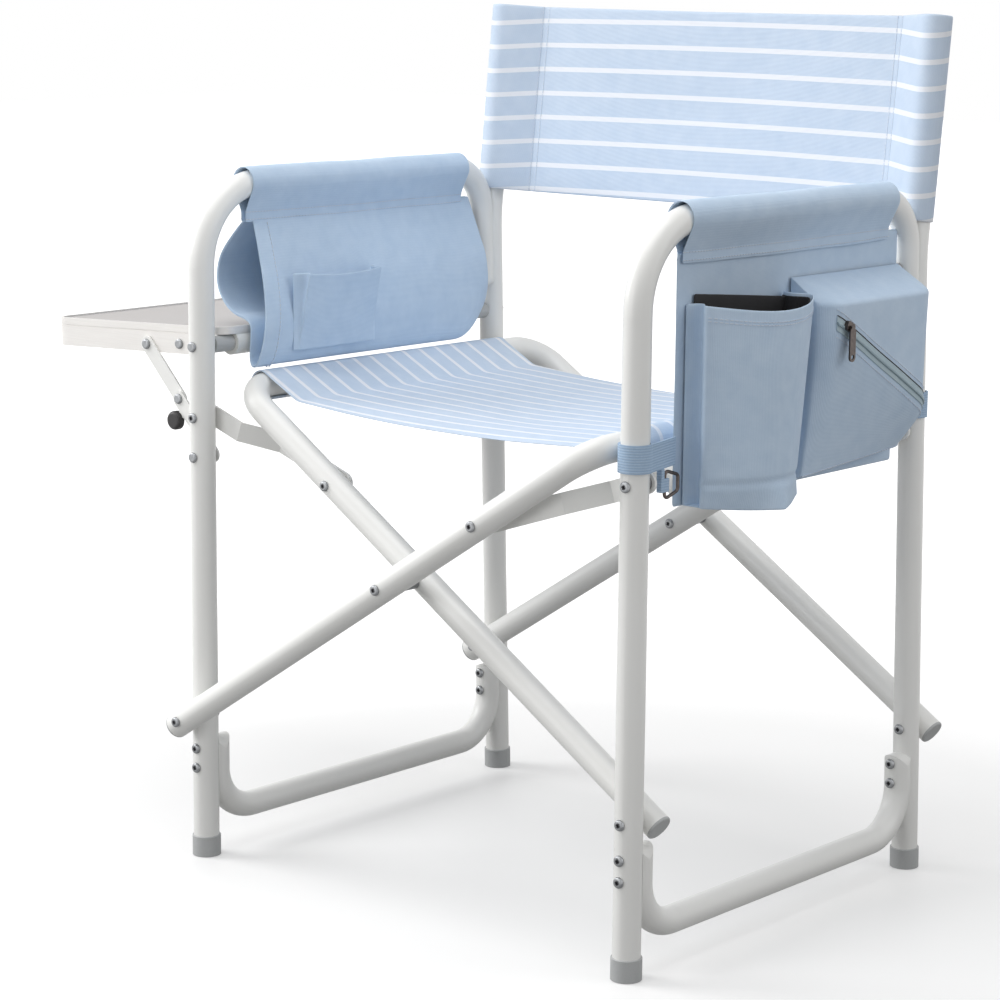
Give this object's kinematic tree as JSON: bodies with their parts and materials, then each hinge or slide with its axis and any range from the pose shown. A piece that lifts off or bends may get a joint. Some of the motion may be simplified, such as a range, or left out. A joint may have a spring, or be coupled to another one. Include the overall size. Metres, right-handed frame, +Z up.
{
  "type": "folding camp chair",
  "caption": "Folding camp chair with a tubular frame, crossed folding tubes, sling seat and back, arm pouch, side organiser and a fold-down side table",
  "frame": {"origin": "on the floor, midway between the four feet", "axes": "+X to the sitter's left, -Y to the front, +Z up"},
  "size_m": [0.856, 0.5326, 0.8527],
  "materials": {
    "tube_paint": "white powder coat",
    "moulded_grey": "moulded grey plastic",
    "bolt_zinc": "zinc plated",
    "link_paint": "white powder coat",
    "sling_blue": "woven polyester canvas",
    "cover_blue": "woven polyester canvas",
    "table_aluminium": "satin anodised",
    "table_board": "faced board",
    "hinge_plastic": "moulded white plastic",
    "rod_grey": "grey painted tube",
    "stay_steel": "white powder coat",
    "knob_black": "moulded black plastic",
    "webbing": "woven webbing",
    "zip_nylon": "nylon coil zip",
    "zip_metal": "gunmetal plated zinc"
  },
  "bodies": {
    "left_frame": {"left_arm_tube": "tube_paint", "left_back_post": "tube_paint", "left_floor_brace": "tube_paint", "left_foot_caps": "moulded_grey", "left_post_plug": "moulded_grey", "left_frame_screws": "bolt_zinc", "left_arm_cover": "cover_blue", "left_pivot_bolts": "bolt_zinc", "left_link_bolts": "bolt_zinc", "back_sling": "sling_blue", "left_pouch": "cover_blue", "left_pouch_pocket": "cover_blue", "table_hinge_rod": "rod_grey", "table_hinge_screws": "bolt_zinc", "table_stay_bolt": "bolt_zinc"},
    "outer_cross": {"outer_cross_tube": "tube_paint", "outer_cross_plugs": "moulded_grey", "outer_link_studs": "bolt_zinc", "cross_bolts": "bolt_zinc"},
    "inner_cross": {"inner_cross_tube": "tube_paint", "inner_cross_plugs": "moulded_grey", "inner_link_studs": "bolt_zinc"},
    "right_frame": {"right_arm_tube": "tube_paint", "right_back_post": "tube_paint", "right_floor_brace": "tube_paint", "right_foot_caps": "moulded_grey", "right_post_plug": "moulded_grey", "right_frame_screws": "bolt_zinc", "right_arm_cover": "cover_blue", "right_pivot_bolts": "bolt_zinc", "right_link_bolts": "bolt_zinc", "organiser_panel": "cover_blue", "bottle_pocket": "cover_blue", "zip_pocket": "cover_blue", "zip_tape": "zip_nylon", "organiser_straps": "webbing", "ring_tab": "webbing"},
    "seat": {"seat_sling": "sling_blue"},
    "left_front_link": {"left_front_link": "link_paint", "left_front_link_nut": "bolt_zinc"},
    "left_rear_link": {"left_rear_link": "link_paint", "left_rear_link_nut": "bolt_zinc"},
    "right_front_link": {"right_front_link": "link_paint", "right_front_link_nut": "bolt_zinc"},
    "right_rear_link": {"right_rear_link": "link_paint", "right_rear_link_nut": "bolt_zinc"},
    "table": {"table_edge": "table_aluminium", "table_panel": "table_board", "table_hinge_ears": "hinge_plastic", "table_rivets": "bolt_zinc"},
    "stay_upper": {"stay_upper_bar": "stay_steel"},
    "stay_lower": {"stay_lower_bar": "stay_steel", "stay_knee_rivet": "bolt_zinc", "stay_knob": "knob_black"},
    "zip_slider": {"zip_slider": "zip_metal"},
    "zip_pull": {"zip_pull": "zip_metal"},
    "d_ring": {"d_ring": "zip_metal"}
  },
  "joints": [
    {"name": "fold", "type": "hinge", "parent": "left_frame", "child": "outer_cross", "pos_m": [-0.274, 0, 0.146], "axis": [0, -1, 0], "range_deg": [0, 41.06], "deforming": ["seat_sling", "back_sling", "left_pouch", "left_pouch_pocket"]},
    {"name": "cross_pivot", "type": "hinge", "parent": "outer_cross", "child": "inner_cross", "pos_m": [0, 0, 0.32254], "axis": [0, -1, 0], "range_deg": [-90.43, 0.02]},
    {"name": "right_frame_pivot", "type": "hinge", "parent": "inner_cross", "child": "right_frame", "pos_m": [0.274, 0, 0.146], "axis": [0, -1, 0], "range_deg": [-0.02, 41.08]},
    {"name": "seat_turn", "type": "hinge", "parent": "inner_cross", "child": "seat", "pos_m": [-0.2444, 0, 0.48], "axis": [0, -1, 0], "range_deg": [-0.02, 45.23]},
    {"name": "left_front_link_pivot", "type": "hinge", "parent": "left_frame", "child": "left_front_link", "pos_m": [-0.274, 0, 0.45112], "axis": [0, -1, 0], "range_deg": [-0.02, 82.77]},
    {"name": "left_rear_link_pivot", "type": "hinge", "parent": "left_frame", "child": "left_rear_link", "pos_m": [-0.274, 0, 0.45112], "axis": [0, -1, 0], "range_deg": [-0.02, 82.77]},
    {"name": "right_front_link_pivot", "type": "hinge", "parent": "right_frame", "child": "right_front_link", "pos_m": [0.274, 0, 0.45112], "axis": [0, -1, 0], "range_deg": [-82.77, 0.02]},
    {"name": "right_rear_link_pivot", "type": "hinge", "parent": "right_frame", "child": "right_rear_link", "pos_m": [0.274, 0, 0.45112], "axis": [0, -1, 0], "range_deg": [-82.77, 0.02]},
    {"name": "table_fold", "type": "hinge", "parent": "left_frame", "child": "table", "pos_m": [-0.274, 0, 0.522], "axis": [0, -1, 0], "range_deg": [0, 72]},
    {"name": "stay_upper_pivot", "type": "hinge", "parent": "table", "child": "stay_upper", "pos_m": [-0.37231, 0, 0.5133], "axis": [0, -1, 0], "range_deg": [-138.19, 0.02]},
    {"name": "stay_lower_pivot", "type": "hinge", "parent": "left_frame", "child": "stay_lower", "pos_m": [-0.274, 0, 0.41152], "axis": [0, -1, 0], "range_deg": [-0.02, 92.41]},
    {"name": "zip_run", "type": "slide", "parent": "right_frame", "child": "zip_slider", "axis": [0, 0.8827, -0.47], "range_m": [0, 0.1505]},
    {"name": "zip_pull_swing", "type": "hinge", "parent": "zip_slider", "child": "zip_pull", "pos_m": [0.3287, 0.02259, 0.57236], "axis": [0, -1, 0], "range_deg": [0, 80]},
    {"name": "d_ring_swing", "type": "hinge", "parent": "right_frame", "child": "d_ring", "pos_m": [0.28096, -0.19225, 0.44797], "axis": [0, 0, 1], "range_deg": [-80, 25]}
  ],
  "couplings": [
    {"joint": "cross_pivot", "follows": "fold", "ratio": -2.2022},
    {"joint": "right_frame_pivot", "follows": "fold", "ratio": 1},
    {"joint": "seat_turn", "follows": "fold", "ratio": 1.1011},
    {"joint": "left_front_link_pivot", "follows": "fold", "ratio": 2.0156},
    {"joint": "left_rear_link_pivot", "follows": "fold", "ratio": 2.0156},
    {"joint": "right_front_link_pivot", "follows": "fold", "ratio": -2.0156},
    {"joint": "right_rear_link_pivot", "follows": "fold", "ratio": -2.0156},
    {"joint": "stay_upper_pivot", "follows": "table_fold", "ratio": -1.919},
    {"joint": "stay_lower_pivot", "follows": "table_fold", "ratio": 1.2832}
  ]
}
